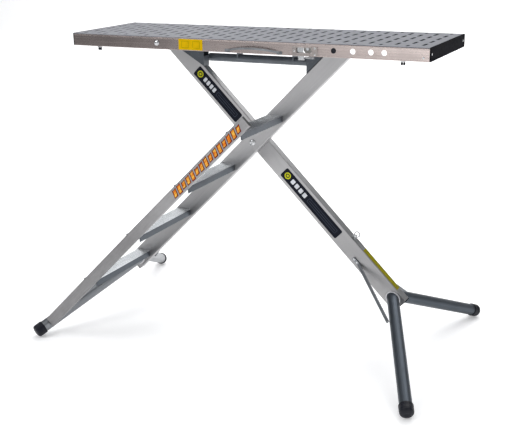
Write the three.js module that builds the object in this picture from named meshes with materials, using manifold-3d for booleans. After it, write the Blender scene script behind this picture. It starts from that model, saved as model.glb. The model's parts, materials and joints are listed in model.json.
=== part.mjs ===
// Folding sawhorse: a slotted aluminium platform on two crossed legs that fold flat under it.
// Frame: millimetres, +Z up, origin on the floor midway between the four feet, X along the platform.
// The prop leg hangs from a fixed shaft at the platform's left. The ladder leg crosses it at the
// centre bolt, and its cross pin runs along the two rails as the legs fold.
import * as THREE from "three";
import { mergeVertices } from "three/addons/utils/BufferGeometryUtils.js";
import Module from "manifold-3d";

const wasm = await Module();
wasm.setup();

// ---------------------------------------------------------------- driving dimensions
const GAP = 0.3; // clearance between fixed neighbours

// Platform
const DECK = { left: -577, right: 623, halfWidth: 183, top: 1013, thick: 2.5 };
const SLOT = { length: 44, width: 9, pitch: 78, rowPitch: 35, rows: 10 };
const RAIL = { height: 37, depth: 18, web: 2.5, flange: 2.2 };
const END_CAP = { thick: 3, plug: 18 };
const DEEP_BEAMS = [-500, -90, 110, 602]; // centre X of each deep cross member
const SHALLOW_RIBS = [-330, -190, 300, 440]; // centre X of each shallow rib
const BEAM = { width: 30, height: 26, wall: 2 };
const RIB = { width: 24, height: 6, endGap: 4 };
const PIN_HOLES = [339, 397, 451, 490]; // X of the lower height settings
const HOLE_RADIUS = 8;
const BUFFER = { x: [-479, 543], radius: 6.5, drop: 13 };
const UNDER_TUBE = { left: -204, right: 186, y: 62, z: 921, radius: 13.5, wall: 2, hangers: [-90, 110] };
const HANGER = { thick: 4, halfWidth: 19, below: 18 };
const HANDLE = { left: -7, right: 172, z: 983, width: 13, thick: 4, bow: 14, rise: 4 };
const CLIP = { outside: 6, lap: 12, wall: 2, above: 3 };
const LATCH = { left: 211, right: 291, low: 974, high: 1002, thick: 2, border: 6 };
const LATCH_WINDOW = [224, 272, 983, 998]; // X from and to, Z from and to
const LATCH_SLIDE = { left: 228, right: 246, low: 961, high: 984, thick: 2.7, tab: 9 };
const LATCH_LEAF = { left: 216, right: 243, low: 978, high: 1002 };
const LATCH_SPRING = { left: 247, right: 276, y: -173, below: 5, radius: 3.5 };
const LATCH_EXIT = [210, 250]; // the slide's gap in the rail's lower flange

// Legs: each spine is a rectangular tube at 45 degrees through the centre bolt
const CROSSING_Z = 665;
const SPINE = { depth: 60, width: 30, wall: 2.5, top: 440 };
const PROP = { nearY: 0, bottom: -708, jointAt: -668 };
const LADDER = { nearY: -36, bottom: -690, jointAt: -652 };
const PIVOT = { along: 411.5, off: 52, shaftRadius: 6, bushRadius: 10 }; // pivot bushes on both legs
const LUG = { plate: 2.6, innerX: 191, low: 908, offMax: 62, lap: 24, lapLength: 44, web: 2.5 };
const PLUG = { head: 3, depth: 16, inset: 0.5 };
const FOOT = { x: 654, y: 391, z: 23, tubeRadius: 19, wall: 2, capRadius: 23, capLength: 34, capFront: 15 };
const BRACE = { from: -522, reach: 128, low: -18, width: 11, thick: 4 };
const BOLT = { shank: 6, hole: 6.5, head: 10.5, washer: 15 };

// Ladder side
const TREAD = { tops: [763, 586, 409, 232], depth: 52, lip: 22, back: 9, sheet: 2.5 };
const STILE = { width: 36, depth: 12, sheet: 2.5, off: 4, top: 186, bend: -335, foot: -872 };
const STILE_NEAR_Y = { top: -331, bend: -362, foot: -376 }; // outer face along its length
const RING = { along: -447, radius: 9, wire: 1.3 };
const STAPLE = { base: [9, 8, 2], post: [3, 4, 10.5], eye: 6, eyeRadius: 2.2 }; // half sizes, then heights

const ROOT2 = Math.SQRT2;

// ---------------------------------------------------------------- finishes
const FINISH = {
  railAluminium: { color: 0xa79c98, roughness: 0.28, metalness: 1 },
  deckAluminium: { color: 0x93949a, roughness: 0.5, metalness: 1 },
  legAluminium: { color: 0xb4b2b4, roughness: 0.42, metalness: 1 },
  treadAluminium: { color: 0x7d838b, roughness: 0.5, metalness: 1 },
  steel: { color: 0x9a9ca0, roughness: 0.35, metalness: 1 },
  darkSteel: { color: 0x4a5058, roughness: 0.45, metalness: 0.8 },
  blackPlastic: { color: 0x16171b, roughness: 0.55, metalness: 0 },
  rubber: { color: 0x14151a, roughness: 0.8, metalness: 0 },
  greyStrap: { color: 0x6d7076, roughness: 0.5, metalness: 0 },
  nylon: { color: 0xd8d8d4, roughness: 0.5, metalness: 0 },
};

// ---------------------------------------------------------------- shape helpers
// A box between two opposite corners, given as a pair of values on each axis.
function bar(xs, ys, zs) {
  const [low, high] = [Math.min, Math.max].map((pick) => [pick(...xs), pick(...ys), pick(...zs)]);
  const size = high.map((value, i) => value - low[i]);
  const middle = high.map((value, i) => (value + low[i]) / 2);
  return new THREE.BoxGeometry(...size).translate(...middle);
}

// Moves a geometry made along +Y so that it runs from one point towards another.
function aim(geometry, from, to) {
  const start = new THREE.Vector3(...from);
  const direction = new THREE.Vector3(...to).sub(start).normalize();
  const turn = new THREE.Quaternion().setFromUnitVectors(new THREE.Vector3(0, 1, 0), direction);
  return geometry.applyQuaternion(turn).translate(start.x, start.y, start.z);
}

function rod(from, to, radius, sides = 20) {
  const length = new THREE.Vector3(...from).distanceTo(new THREE.Vector3(...to));
  const upright = new THREE.CylinderGeometry(radius, radius, length, sides).translate(0, length / 2, 0);
  return aim(upright, from, to);
}

// A turned piece: the profile's [radius, distance] points start and end on the axis.
function turned(profile, from, to, sides = 20) {
  const points = profile.map(([radius, distance]) => new THREE.Vector2(radius, distance));
  return aim(new THREE.LatheGeometry(points, sides), from, to);
}

// A flat plate with an outline in the XZ plane, from y0 to y1.
function plate(outline, y0, y1) {
  const shape = new THREE.Shape(outline.map(([x, z]) => new THREE.Vector2(x, z)));
  const geometry = new THREE.ExtrudeGeometry(shape, { depth: y1 - y0, bevelEnabled: false });
  return geometry.rotateX(Math.PI / 2).translate(0, y1, 0);
}

function toSolid(geometry) {
  const bare = geometry.index ? geometry.clone() : mergeVertices(geometry);
  bare.deleteAttribute("normal");
  bare.deleteAttribute("uv");
  const merged = mergeVertices(bare, 1e-4);
  return new wasm.Manifold(
    new wasm.Mesh({
      numProp: 3,
      vertProperties: new Float32Array(merged.attributes.position.array),
      triVerts: new Uint32Array(merged.index.array),
    }),
  );
}

function toGeometry(solid) {
  const mesh = solid.getMesh();
  const geometry = new THREE.BufferGeometry();
  geometry.setAttribute("position", new THREE.BufferAttribute(mesh.vertProperties, 3));
  geometry.setIndex(new THREE.BufferAttribute(mesh.triVerts, 1));
  geometry.computeVertexNormals();
  return geometry;
}

function join(...geometries) {
  return toGeometry(geometries.map(toSolid).reduce((sum, solid) => sum.add(solid)));
}

function cut(geometry, ...tools) {
  return toGeometry(tools.map(toSolid).reduce((left, tool) => left.subtract(tool), toSolid(geometry)));
}

function piece(name, geometry, finish) {
  const mesh = new THREE.Mesh(geometry, new THREE.MeshStandardMaterial(FINISH[finish]));
  mesh.name = name;
  return mesh;
}

// ---------------------------------------------------------------- platform
const deckLow = DECK.top - DECK.thick;
const railTop = deckLow - GAP;
const railLow = railTop - RAIL.height;
const pivotX = (PIVOT.along - PIVOT.off) / ROOT2;
const pivotZ = CROSSING_Z + (PIVOT.along + PIVOT.off) / ROOT2;
const railEnds = [DECK.left + END_CAP.thick + GAP, DECK.right - END_CAP.thick - GAP];

// The slots stand across the platform, with alternate rows shifted by half a pitch.
function deckPlate() {
  const middle = (DECK.left + DECK.right) / 2;
  const columns = Math.floor((DECK.right - DECK.left) / SLOT.pitch / 2);
  const slots = [];
  for (let row = 0; row < SLOT.rows; row += 1) {
    const y = (row - (SLOT.rows - 1) / 2) * SLOT.rowPitch;
    const shift = (row % 2) * (SLOT.pitch / 2) - SLOT.pitch / 4;
    const isEdge = row === 0 || row === SLOT.rows - 1;
    const half = isEdge ? SLOT.length / 4 : SLOT.length / 2;
    for (let column = -columns; column <= columns; column += 1) {
      const x = middle + column * SLOT.pitch + shift;
      const across = [x - SLOT.width / 2, x + SLOT.width / 2];
      slots.push(bar(across, [y - half, y + half], [deckLow - 1, DECK.top + 1]));
    }
  }
  return cut(bar(railEnds, [-DECK.halfWidth, DECK.halfWidth], [deckLow, DECK.top]), ...slots);
}

// A channel that opens inwards. side is -1 for the near rail and 1 for the far one.
function rail(side) {
  const outer = side * DECK.halfWidth;
  const webInside = outer - side * RAIL.web;
  const inner = outer - side * RAIL.depth;
  const beyond = [railEnds[0] - 1, railEnds[1] + 1];
  const through = (x, radius) => rod([x, outer + side, pivotZ], [x, webInside - side, pivotZ], radius, 16);
  return cut(
    bar(railEnds, [outer, inner], [railLow, railTop]),
    bar(beyond, [webInside, inner - side], [railLow + RAIL.flange, railTop - RAIL.flange]),
    through(-pivotX, PIVOT.shaftRadius + GAP),
    ...PIN_HOLES.map((x) => through(x, HOLE_RADIUS)),
    bar(
      [LATCH.left + LATCH.border, LATCH.right - LATCH.border],
      [outer + side, webInside - side],
      [LATCH.low + LATCH.border, LATCH.high - LATCH.border / 2],
    ),
    bar(LATCH_EXIT, [webInside, inner - side], [railLow - 1, railLow + RAIL.flange + 1]),
  );
}

// A thin plate over the end with a plug in each rail. side is -1 at the left end and 1 at the right.
function endCap(side) {
  const face = side < 0 ? DECK.left : DECK.right;
  const inside = face - side * END_CAP.thick;
  const plug = (wall) =>
    bar(
      [inside + side, inside - side * END_CAP.plug],
      [wall * (DECK.halfWidth - RAIL.web - GAP), wall * (DECK.halfWidth - RAIL.depth)],
      [railLow + RAIL.flange + GAP, railTop - RAIL.flange - GAP],
    );
  return join(
    bar([face, inside], [-DECK.halfWidth, DECK.halfWidth], [railLow, DECK.top]),
    plug(-1),
    plug(1),
  );
}

// An upside-down channel between the rails.
function deepBeam(x) {
  const half = BEAM.width / 2;
  const end = DECK.halfWidth - RAIL.depth - 2 * GAP;
  return cut(
    bar([x - half, x + half], [-end, end], [railTop - BEAM.height, railTop]),
    bar(
      [x - half + BEAM.wall, x + half - BEAM.wall],
      [-end - 1, end + 1],
      [railTop - BEAM.height - 1, railTop - BEAM.wall],
    ),
  );
}

// A shallow cross member that stops short of the bushes running in the rails.
function shallowRib(x) {
  const end = DECK.halfWidth - RAIL.depth - RIB.endGap;
  return bar([x - RIB.width / 2, x + RIB.width / 2], [-end, end], [railTop - RIB.height, railTop]);
}

// The fixed shaft through both rails, with a domed head outside the near rail.
function pivotShaft() {
  const head = -DECK.halfWidth - GAP;
  const profile = [
    [0, 0],
    [4.5, 0.8],
    [8, 3],
    [9, 5],
    [9, 6],
    [PIVOT.shaftRadius, 6],
    [PIVOT.shaftRadius, 6 + 2 * DECK.halfWidth + 10],
    [0, 6 + 2 * DECK.halfWidth + 10],
  ];
  return turned(profile, [-pivotX, head - 6, pivotZ], [-pivotX, 0, pivotZ]);
}

function pivotNut() {
  const start = DECK.halfWidth + GAP;
  const axis = [-pivotX, start, pivotZ];
  return cut(
    rod(axis, [-pivotX, start + 7, pivotZ], 9.5, 6),
    rod([-pivotX, start - 1, pivotZ], [-pivotX, start + 8, pivotZ], PIVOT.shaftRadius + GAP, 12),
  );
}

// A spacer tube on the shaft, between a rail and the prop leg's bush.
function pivotSpacer(y0, y1) {
  return cut(
    rod([-pivotX, y0, pivotZ], [-pivotX, y1, pivotZ], PIVOT.bushRadius - 1, 16),
    rod([-pivotX, y0 - 1, pivotZ], [-pivotX, y1 + 1, pivotZ], PIVOT.shaftRadius + GAP, 16),
  );
}

// The slotted plate on the outside of the near rail, round the cross pin's highest setting.
function latchPlate() {
  const inner = -DECK.halfWidth - GAP;
  const outer = inner - LATCH.thick;
  const [x0, x1, z0, z1] = LATCH_WINDOW;
  return cut(
    bar([LATCH.left, LATCH.right], [inner, outer], [LATCH.low, LATCH.high]),
    bar([x0, x1], [inner + 1, outer - 1], [z0, z1]),
  );
}

// The sliding latch inside the near rail: a leaf behind the window and a finger tab below the rail.
function latchSlide() {
  const { left, right, low, high, thick, tab } = LATCH_SLIDE;
  const near = -DECK.halfWidth + RAIL.web + GAP;
  return join(
    bar([left, right], [near, near + thick], [low, high]),
    bar([LATCH_LEAF.left, LATCH_LEAF.right], [near, near + thick], [LATCH_LEAF.low, LATCH_LEAF.high]),
    bar([left, right], [near, near + tab], [low, low + thick]),
  );
}

function latchSpring() {
  const { left, right, y, below, radius } = LATCH_SPRING;
  return rod([left, y, railLow - below], [right, y, railLow - below], radius, 10);
}

// A tube closed at its left end.
function underTube() {
  const { left, right, y, z, radius, wall } = UNDER_TUBE;
  const bore = rod([left + 2 * wall, y, z], [right + 1, y, z], radius - wall);
  return cut(rod([left, y, z], [right, y, z], radius), bore);
}

function tubeHanger(x) {
  const { y, z, radius } = UNDER_TUBE;
  const half = HANGER.thick / 2;
  const top = railTop - BEAM.height - GAP;
  return cut(
    bar([x - half, x + half], [y - HANGER.halfWidth, y + HANGER.halfWidth], [z - HANGER.below, top]),
    rod([x - half - 1, y, z], [x + half + 1, y, z], radius + GAP),
  );
}

// A bowed strap that stands off the near rail's face.
function handleStrap() {
  const wallY = -DECK.halfWidth - GAP;
  const middle = (HANDLE.left + HANDLE.right) / 2;
  const steps = 12;
  const outline = new THREE.Shape();
  const bow = (k) => Math.sin((Math.PI * k) / steps) * HANDLE.bow;
  const along = (k) => HANDLE.left + ((HANDLE.right - HANDLE.left) * k) / steps;
  outline.moveTo(along(0), wallY);
  for (let k = 1; k <= steps; k += 1) outline.lineTo(along(k), wallY - bow(k));
  for (let k = steps; k >= 0; k -= 1) outline.lineTo(along(k), wallY - bow(k) - HANDLE.thick);
  outline.closePath();
  const strap = new THREE.ExtrudeGeometry(outline, { depth: HANDLE.width, bevelEnabled: false });
  strap.translate(0, 0, HANDLE.z - HANDLE.width / 2);
  const position = strap.attributes.position;
  for (let i = 0; i < position.count; i += 1) {
    const across = (position.getX(i) - middle) / (HANDLE.right - middle);
    position.setZ(i, position.getZ(i) + HANDLE.rise * (1 - across * across));
  }
  return strap;
}

// A metal clip over a strap end. towards is 1 at the left end and -1 at the right.
function handleClip(x, towards) {
  const face = -DECK.halfWidth - GAP;
  const strapFront = face - HANDLE.thick - 4;
  const low = HANDLE.z - HANDLE.width / 2;
  const high = HANDLE.z + HANDLE.width / 2 + CLIP.above;
  return cut(
    bar(
      [x - towards * CLIP.outside, x + towards * CLIP.lap],
      [face, strapFront - CLIP.wall],
      [low - CLIP.wall, high],
    ),
    bar(
      [x - towards * GAP, x + towards * (CLIP.lap + 1)],
      [face + 1, strapFront],
      [low - GAP, high - CLIP.wall / 2],
    ),
  );
}

function buffer(x, side) {
  const y = side * (DECK.halfWidth - RAIL.depth / 2);
  const profile = [
    [0, GAP],
    [4, GAP],
    [4, 4],
    [BUFFER.radius, 5],
    [BUFFER.radius, BUFFER.drop - 2],
    [BUFFER.radius - 2, BUFFER.drop],
    [0, BUFFER.drop],
  ];
  return turned(profile, [x, y, railLow], [x, y, 0], 12);
}

function platform() {
  const group = new THREE.Group();
  const near = [-(DECK.halfWidth - RAIL.web - GAP), PROP.nearY - LUG.plate - 2 * GAP];
  const far = [PROP.nearY + SPINE.width + LUG.plate + 2 * GAP, DECK.halfWidth - RAIL.web - GAP];
  group.add(
    piece("deck_plate", deckPlate(), "deckAluminium"),
    piece("rail_near", rail(-1), "railAluminium"),
    piece("rail_far", rail(1), "railAluminium"),
    piece("end_cap_left", endCap(-1), "blackPlastic"),
    piece("end_cap_right", endCap(1), "blackPlastic"),
    piece("pivot_shaft", pivotShaft(), "steel"),
    piece("pivot_nut", pivotNut(), "steel"),
    piece("pivot_spacer_near", pivotSpacer(...near), "darkSteel"),
    piece("pivot_spacer_far", pivotSpacer(...far), "darkSteel"),
    piece("latch_plate_near", latchPlate(), "steel"),
    piece("latch_slide", latchSlide(), "steel"),
    piece("latch_spring", latchSpring(), "steel"),
    piece("underdeck_tube", underTube(), "darkSteel"),
    piece("handle_strap", handleStrap(), "greyStrap"),
    piece("handle_clip_left", handleClip(HANDLE.left, 1), "steel"),
    piece("handle_clip_right", handleClip(HANDLE.right, -1), "steel"),
  );
  DEEP_BEAMS.forEach((x, i) => group.add(piece(`cross_beam_${i + 1}`, deepBeam(x), "deckAluminium")));
  SHALLOW_RIBS.forEach((x, i) => group.add(piece(`deck_rib_${i + 1}`, shallowRib(x), "deckAluminium")));
  UNDER_TUBE.hangers.forEach((x, i) => group.add(piece(`tube_hanger_${i + 1}`, tubeHanger(x), "darkSteel")));
  BUFFER.x.forEach((x, i) => {
    group.add(piece(`buffer_near_${i + 1}`, buffer(x, -1), "rubber"));
    group.add(piece(`buffer_far_${i + 1}`, buffer(x, 1), "rubber"));
  });
  return group;
}

// ---------------------------------------------------------------- legs
// Each leg is made in a frame of its own: the origin is the centre bolt, x runs along the spine and
// z across it, towards the side that carries the pivot. t is the distance up the leg from the bolt,
// and uphill is the sign of x on the way up: 1 on the ladder leg and -1 on the prop leg.

// The leg's own x and z for a point of the XZ plane on the leg's side.
function legPoint(uphill, x, z) {
  const rise = z - CROSSING_Z;
  const outward = uphill * x;
  return [(uphill * (outward + rise)) / ROOT2, (rise - outward) / ROOT2];
}

// A rectangular tube, with its bolt hole and open ends.
function spine(uphill, leg) {
  const half = SPINE.depth / 2;
  const ends = [uphill * leg.bottom, uphill * SPINE.top];
  const y = [leg.nearY, leg.nearY + SPINE.width];
  const inside = [leg.nearY + SPINE.wall, leg.nearY + SPINE.width - SPINE.wall];
  return cut(
    bar(ends, y, [-half, half]),
    bar([ends[0] - uphill, ends[1] + uphill], inside, [-half + SPINE.wall, half - SPINE.wall]),
    rod([0, y[0] - 1, 0], [0, y[1] + 1, 0], BOLT.hole),
  );
}

// The plug that closes the lower end of a spine.
function bottomPlug(uphill, leg) {
  const half = SPINE.depth / 2;
  const inset = SPINE.wall + GAP;
  return join(
    bar(
      [uphill * (leg.bottom - GAP), uphill * (leg.bottom - PLUG.head)],
      [leg.nearY + PLUG.inset, leg.nearY + SPINE.width - PLUG.inset],
      [-half + PLUG.inset, half - PLUG.inset],
    ),
    bar(
      [uphill * (leg.bottom - 1), uphill * (leg.bottom + PLUG.depth)],
      [leg.nearY + inset, leg.nearY + SPINE.width - inset],
      [-half + inset, half - inset],
    ),
  );
}

// The bracket that carries the pivot bush: two side plates and two webs, welded to the spine's edge.
// With lap the plates stand outside the spine and lap over its sides; without it they stay on its edge.
function lug(uphill, leg, lap) {
  const face = SPINE.depth / 2;
  const clear = face + GAP;
  const corner = legPoint(uphill, uphill * LUG.innerX, LUG.low);
  const start = uphill * corner[0] + (LUG.offMax - corner[1]);
  const webStart = start - LUG.offMax + clear;
  const end = SPINE.top - 6;
  const side = (points) => {
    const placed = points.map(([t, off]) => [uphill * t, off]);
    return uphill > 0 ? placed.reverse() : placed;
  };
  const outline = side([
    [webStart, clear],
    [start, LUG.offMax],
    [PIVOT.along + 2, LUG.offMax],
    [PIVOT.along + 9, PIVOT.off + 6],
    [PIVOT.along + 10, PIVOT.off],
    [end, clear],
  ]);
  const overlap = side([
    [webStart, clear],
    [end, clear],
    [end, face - lap],
    [SPINE.top - LUG.lapLength, face - lap],
  ]);
  const inclinedWeb = side([
    [webStart, clear],
    [webStart + 22, clear + 22],
    [webStart + 22 + LUG.web, clear + 22],
    [webStart + 2 * LUG.web, clear],
  ]);
  const outside = lap > 0 ? LUG.plate : 0;
  const gap = lap > 0 ? GAP : 0;
  const near = leg.nearY - outside;
  const far = leg.nearY + SPINE.width + outside;
  const sheets = [
    [near, near + LUG.plate - gap],
    [far - LUG.plate + gap, far],
  ];
  const onAxis = (y) => [uphill * PIVOT.along, y, PIVOT.off];
  const parts = [
    ...sheets.map(([y0, y1]) => plate(outline, y0, y1)),
    plate(inclinedWeb, near + 0.5, far - 0.5),
    bar([uphill * (webStart + 40), uphill * (end - 8)], [near + 0.5, far - 0.5], [clear, clear + LUG.web]),
    rod(onAxis(near), onAxis(far), PIVOT.bushRadius),
  ];
  if (lap > 0) parts.push(...sheets.map(([y0, y1]) => plate(overlap, y0, y1)));
  return cut(join(...parts), rod(onAxis(near - 1), onAxis(far + 1), PIVOT.shaftRadius + GAP));
}

// The two ends of a foot tube's centre line, in the leg's frame.
function footLine(uphill, leg, side) {
  const start = new THREE.Vector3(uphill * leg.jointAt, leg.nearY + SPINE.width / 2, 0);
  const [x, z] = legPoint(uphill, -uphill * FOOT.x, FOOT.z);
  const capMiddle = new THREE.Vector3(x, side * FOOT.y, z);
  const direction = capMiddle.clone().sub(start).normalize();
  return { start, direction, end: capMiddle.clone().addScaledVector(direction, FOOT.capFront) };
}

function footTube(uphill, leg, side) {
  const { start, direction, end } = footLine(uphill, leg, side);
  const tip = end.clone().addScaledVector(direction, -4);
  const pastTip = tip.clone().addScaledVector(direction, 1);
  const half = SPINE.depth / 2 + 5;
  const spineBlock = bar(
    [uphill * (leg.jointAt - 100), uphill * (leg.jointAt + 100)],
    [leg.nearY - GAP, leg.nearY + SPINE.width + GAP],
    [-half, half],
  );
  const otherSide = bar(
    [uphill * (leg.jointAt - 100), uphill * (leg.jointAt + 100)],
    [leg.nearY + SPINE.width / 2, leg.nearY + SPINE.width / 2 - side * 60],
    [-half, half],
  );
  const beforeStart = start.clone().addScaledVector(direction, -30);
  const beforeBore = start.clone().addScaledVector(direction, -31);
  return cut(
    rod(beforeStart.toArray(), tip.toArray(), FOOT.tubeRadius),
    rod(beforeBore.toArray(), pastTip.toArray(), FOOT.tubeRadius - FOOT.wall),
    spineBlock,
    otherSide,
  );
}

// A rubber cap over the tube's end, cut flat where it stands on the floor.
function footCap(uphill, leg, side) {
  const { direction, end } = footLine(uphill, leg, side);
  const mouth = end.clone().addScaledVector(direction, -FOOT.capLength);
  const inner = FOOT.tubeRadius + GAP;
  const outer = FOOT.capRadius;
  const length = FOOT.capLength;
  const profile = [
    [inner, 0],
    [outer - 1.5, 0],
    [outer, 2],
    [outer, length - 11],
    [outer - 1.5, length - 6],
    [outer - 6, length - 1.5],
    [outer - 11, length],
    [0, length],
    [0, length - 3.5],
    [inner, length - 3.5],
    [inner, 0],
  ];
  const cap = turned(profile, mouth.toArray(), end.toArray(), 24);
  const floor = bar([-900, 900], [-500, 500], [-60, 0]).translate(0, 0, -CROSSING_Z);
  floor.rotateY(-legTurn(uphill));
  return cut(cap, floor);
}

// A flat strut from the spine's side to the foot tube.
function brace(uphill, leg, side) {
  const { start, direction } = footLine(uphill, leg, side);
  const wall = side < 0 ? leg.nearY : leg.nearY + SPINE.width;
  const foot = start.clone().addScaledVector(direction, BRACE.reach);
  const lean = Math.hypot(direction.x, direction.y);
  const outX = (uphill * Math.abs(direction.y)) / lean;
  const outY = (side * Math.abs(direction.x)) / lean;
  const outside = new THREE.Vector2(outX, outY);
  const meet = new THREE.Vector2(foot.x, foot.y).addScaledVector(outside, FOOT.tubeRadius - 0.9);
  const top = new THREE.Vector2(uphill * BRACE.from, wall + side * GAP);
  const points = [
    new THREE.Vector2(uphill * (BRACE.from + 26), wall + side * GAP),
    new THREE.Vector2(uphill * (BRACE.from + 26), wall + side * (GAP + BRACE.thick)),
    new THREE.Vector2(top.x, top.y + side * BRACE.thick),
    new THREE.Vector2(meet.x + uphill * BRACE.thick, meet.y + side * BRACE.thick * 0.4),
    new THREE.Vector2(meet.x, meet.y),
    new THREE.Vector2(top.x, top.y),
  ];
  const shape = new THREE.Shape(uphill * side > 0 ? points.reverse() : points);
  const strut = new THREE.ExtrudeGeometry(shape, { depth: BRACE.width, bevelEnabled: false });
  return strut.translate(0, 0, BRACE.low);
}

// What both legs have.
function legPieces(name, uphill, leg, lugLap) {
  const pieces = [
    piece(`${name}_spine`, spine(uphill, leg), "legAluminium"),
    piece(`${name}_lug`, lug(uphill, leg, lugLap), "darkSteel"),
    piece(`${name}_bottom_plug`, bottomPlug(uphill, leg), "blackPlastic"),
  ];
  for (const [word, side] of [["near", -1], ["far", 1]]) {
    pieces.push(
      piece(`${name}_foot_tube_${word}`, footTube(uphill, leg, side), "legAluminium"),
      piece(`${name}_foot_cap_${word}`, footCap(uphill, leg, side), "rubber"),
    );
  }
  return pieces;
}

function legTurn(uphill) {
  return -uphill * (Math.PI / 4);
}

function legGroup(uphill) {
  const group = new THREE.Group();
  group.position.set(0, 0, CROSSING_Z);
  group.rotation.y = legTurn(uphill);
  return group;
}

// The bolt through both spines, with a domed head on the near side.
function centreBolt() {
  const start = LADDER.nearY - GAP - 5;
  const length = PROP.nearY + SPINE.width + 16 - start;
  const profile = [
    [0, 0],
    [5, 0.8],
    [9, 3],
    [BOLT.head, 5],
    [BOLT.shank, 5],
    [BOLT.shank, length],
    [0, length],
  ];
  return turned(profile, [0, start, 0], [0, 0, 0]);
}

// A washer or a nut on the centre bolt.
function ringOnAxis(y0, y1, outer, sides) {
  const bore = rod([0, y0 - 1, 0], [0, y1 + 1, 0], BOLT.shank + GAP, 16);
  return cut(rod([0, y0, 0], [0, y1, 0], outer, sides), bore);
}

// The staple on the prop leg's upper face that holds the pull ring.
function ringBracket() {
  const face = SPINE.depth / 2 + GAP;
  const x = -RING.along;
  const y = PROP.nearY + SPINE.width / 2;
  const z = face + STAPLE.eye;
  const block = ([halfX, halfY, height]) =>
    bar([x - halfX, x + halfX], [y - halfY, y + halfY], [face, face + height]);
  const [halfPost] = STAPLE.post;
  return cut(
    join(block(STAPLE.base), block(STAPLE.post)),
    rod([x - halfPost - 1, y, z], [x + halfPost + 1, y, z], STAPLE.eyeRadius, 12),
  );
}

// The wire ring passes through the staple's eye and turns about the spine's direction.
function pullRing() {
  const face = SPINE.depth / 2 + GAP;
  const y = PROP.nearY + SPINE.width / 2;
  const ring = new THREE.TorusGeometry(RING.radius, RING.wire, 8, 24).rotateX(Math.PI / 2);
  return ring.translate(-RING.along, y, face + STAPLE.eye + RING.radius);
}

function propLeg() {
  const uphill = -1;
  const group = legGroup(uphill);
  const washerY = [LADDER.nearY + SPINE.width + GAP, PROP.nearY - GAP];
  const nutY = PROP.nearY + SPINE.width + GAP;
  group.add(
    ...legPieces("prop", uphill, PROP, LUG.lap),
    piece("prop_brace_near", brace(uphill, PROP, -1), "steel"),
    piece("prop_brace_far", brace(uphill, PROP, 1), "steel"),
    piece("centre_bolt", centreBolt(), "steel"),
    piece("centre_washer", ringOnAxis(...washerY, BOLT.washer, 20), "nylon"),
    piece("centre_nut", ringOnAxis(nutY, nutY + 8, BOLT.head, 6), "steel"),
    piece("ring_bracket", ringBracket(), "steel"),
    piece("pull_ring", pullRing(), "steel"),
  );
  return group;
}

// The outer face of the stile at t, in the leg's y.
function stileNearY(t) {
  const { top, bend, foot } = STILE_NEAR_Y;
  if (t > STILE.bend) return bend + ((top - bend) * (t - STILE.bend)) / (STILE.top - STILE.bend);
  return bend + ((foot - bend) * (STILE.bend - t)) / (STILE.bend - STILE.foot);
}

// A folded channel with a slight bend, open towards the treads.
function stile() {
  const stations = [STILE.top, STILE.bend, STILE.foot];
  const half = STILE.width / 2;
  const strip = (inset, depth, overrun) => {
    const ends = [stations[0] + overrun, stations[1], stations[2] - overrun];
    const outline = new THREE.Shape([
      ...ends.map((t) => new THREE.Vector2(t, stileNearY(t) + inset)),
      ...ends.reverse().map((t) => new THREE.Vector2(t, stileNearY(t) + depth)),
    ]);
    const height = STILE.width - 2 * inset;
    const geometry = new THREE.ExtrudeGeometry(outline, { depth: height, bevelEnabled: false });
    return geometry.translate(0, 0, STILE.off - half + inset);
  };
  return cut(strip(0, STILE.depth, 0), strip(STILE.sheet, STILE.depth + 1, -STILE.sheet));
}

// A folded tread with its top level when the sawhorse stands open, in the leg's frame.
function tread(top) {
  const middle = top - CROSSING_Z;
  const back = middle - SPINE.depth / ROOT2 + 2;
  const front = back + TREAD.depth;
  const inner = stileNearY(middle * ROOT2) + STILE.depth + GAP;
  const s = TREAD.sheet;
  const outline = [
    [back, middle],
    [back, middle - TREAD.back],
    [back + s, middle - TREAD.back],
    [back + s, middle - s],
    [front - s, middle - s],
    [front - s, middle - TREAD.lip],
    [front, middle - TREAD.lip],
    [front, middle],
  ];
  const y = [inner, LADDER.nearY - GAP];
  return plate(outline, ...y).rotateY(Math.PI / 4);
}

// The cross pin between the rails, and the nylon bush that guides each of its ends.
function crossPin() {
  const reach = DECK.halfWidth - RAIL.web - 8;
  return rod([PIVOT.along, -reach, PIVOT.off], [PIVOT.along, reach, PIVOT.off], PIVOT.shaftRadius);
}

function pinBush(side) {
  const y = [side * (DECK.halfWidth - RAIL.depth - 3), side * (DECK.halfWidth - RAIL.web - 9)];
  const ends = (extra) => [
    [PIVOT.along, Math.min(...y) - extra, PIVOT.off],
    [PIVOT.along, Math.max(...y) + extra, PIVOT.off],
  ];
  return cut(rod(...ends(0), 13.5, 24), rod(...ends(1), PIVOT.shaftRadius + GAP, 20));
}

function ladderLeg() {
  const uphill = 1;
  const group = legGroup(uphill);
  group.add(
    ...legPieces("ladder", uphill, LADDER, 0),
    piece("ladder_brace_far", brace(uphill, LADDER, 1), "steel"),
    piece("ladder_stile", stile(), "legAluminium"),
    ...TREAD.tops.map((top, i) => piece(`tread_${i + 1}`, tread(top), "treadAluminium")),
    piece("cross_pin", crossPin(), "steel"),
    piece("pin_bush_near", pinBush(-1), "nylon"),
    piece("pin_bush_far", pinBush(1), "nylon"),
  );
  return group;
}

const sawhorse = new THREE.Group();
sawhorse.add(platform(), propLeg(), ladderLeg());

export default sawhorse;
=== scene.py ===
"""Folding sawhorse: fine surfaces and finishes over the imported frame."""
import json
import math

import bmesh
import bpy
import numpy as np
from mathutils import Matrix, Vector


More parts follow.
